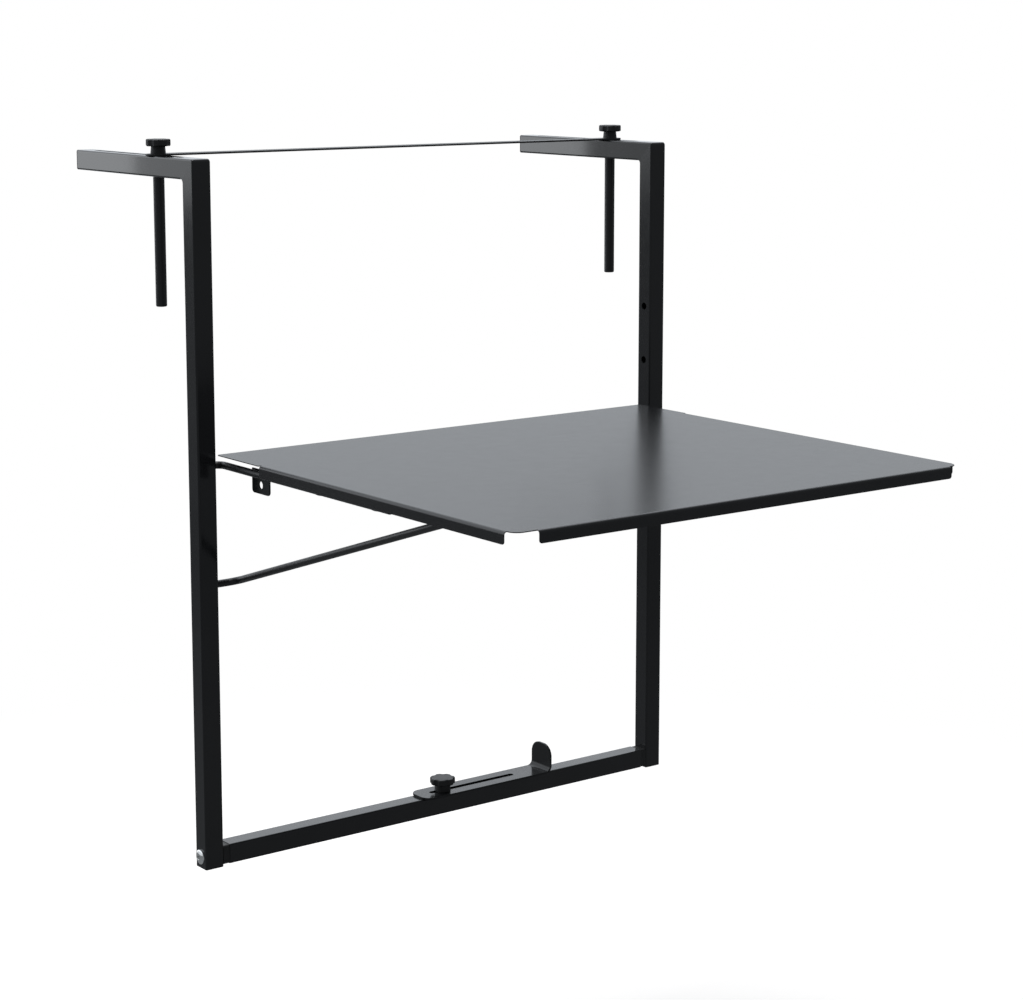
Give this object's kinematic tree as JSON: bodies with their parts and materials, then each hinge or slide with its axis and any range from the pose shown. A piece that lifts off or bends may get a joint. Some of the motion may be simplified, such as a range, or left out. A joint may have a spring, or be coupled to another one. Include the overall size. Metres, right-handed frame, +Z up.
{
  "type": "balcony table",
  "caption": "Folding balcony table that hangs on a railing: square-tube frame with clamp pegs, flanged sheet top on carrier rods, wire prop and slotted stabiliser plate.",
  "frame": {"origin": "where the railing sits: midway between the two arms, at the height of the arms' undersides and in the plane of the uprights' rear faces", "axes": "+X along the bottom bar to the right as the user faces the railing, +Y from the user to the railing and over it, +Z up"},
  "size_m": [0.649, 0.766, 0.7815],
  "materials": {
    "powder_coat": "satin black powder coat on steel",
    "black_plastic": "moulded, matte",
    "zinc_plate": "bright zinc plating"
  },
  "bodies": {
    "frame": {"left_upright": "powder_coat", "right_upright": "powder_coat", "left_arm": "powder_coat", "right_arm": "powder_coat", "left_arm_cap": "black_plastic", "right_arm_cap": "black_plastic", "left_foot_plug": "black_plastic", "right_foot_plug": "black_plastic", "bottom_bar": "powder_coat", "left_bar_insert": "black_plastic", "right_bar_insert": "black_plastic", "left_bar_nut": "zinc_plate", "right_bar_nut": "zinc_plate", "left_frame_bolt": "zinc_plate", "right_frame_bolt": "zinc_plate", "stabiliser_stud": "zinc_plate"},
    "table": {"table_top": "powder_coat", "left_carrier_rod": "powder_coat", "right_carrier_rod": "powder_coat", "left_rear_lug": "powder_coat", "right_rear_lug": "powder_coat", "left_prop_saddle": "black_plastic", "right_prop_saddle": "black_plastic"},
    "prop": {"prop_rod": "powder_coat"},
    "railing_clamp": {"tie_strap": "powder_coat", "left_peg": "powder_coat", "right_peg": "powder_coat", "left_peg_stud": "zinc_plate", "right_peg_stud": "zinc_plate"},
    "left_clamp_knob": {"left_clamp_knob": "black_plastic"},
    "right_clamp_knob": {"right_clamp_knob": "black_plastic"},
    "stabiliser": {"stabiliser_plate": "powder_coat"},
    "stabiliser_knob": {"stabiliser_knob": "black_plastic"}
  },
  "joints": [
    {"name": "table_fold", "type": "hinge", "parent": "frame", "child": "table", "pos_m": [0, -0.011, -0.302], "axis": [1, 0, 0], "range_deg": [0, 85.5]},
    {"name": "prop_swing", "type": "hinge", "parent": "frame", "child": "prop", "pos_m": [0, -0.011, -0.431], "axis": [1, 0, 0], "range_deg": [0, 104.49]},
    {"name": "clamp_slide", "type": "slide", "parent": "frame", "child": "railing_clamp", "axis": [0, 1, 0], "range_m": [-0.0485, 0.1365]},
    {"name": "left_knob_turn", "type": "hinge", "parent": "railing_clamp", "child": "left_clamp_knob", "pos_m": [-0.31, 0.0685, 0.024], "axis": [0, 0, 1], "continuous": true},
    {"name": "right_knob_turn", "type": "hinge", "parent": "railing_clamp", "child": "right_clamp_knob", "pos_m": [0.31, 0.0685, 0.024], "axis": [0, 0, 1], "continuous": true},
    {"name": "stabiliser_slide", "type": "slide", "parent": "frame", "child": "stabiliser", "axis": [1, 0, 0], "range_m": [-0.0985, 0.0145]},
    {"name": "stabiliser_knob_turn", "type": "hinge", "parent": "frame", "child": "stabiliser_knob", "pos_m": [0, -0.011, -0.7157], "axis": [0, 0, 1], "continuous": true}
  ],
  "couplings": [
    {"joint": "prop_swing", "follows": "table_fold", "ratio": 1.2221}
  ]
}
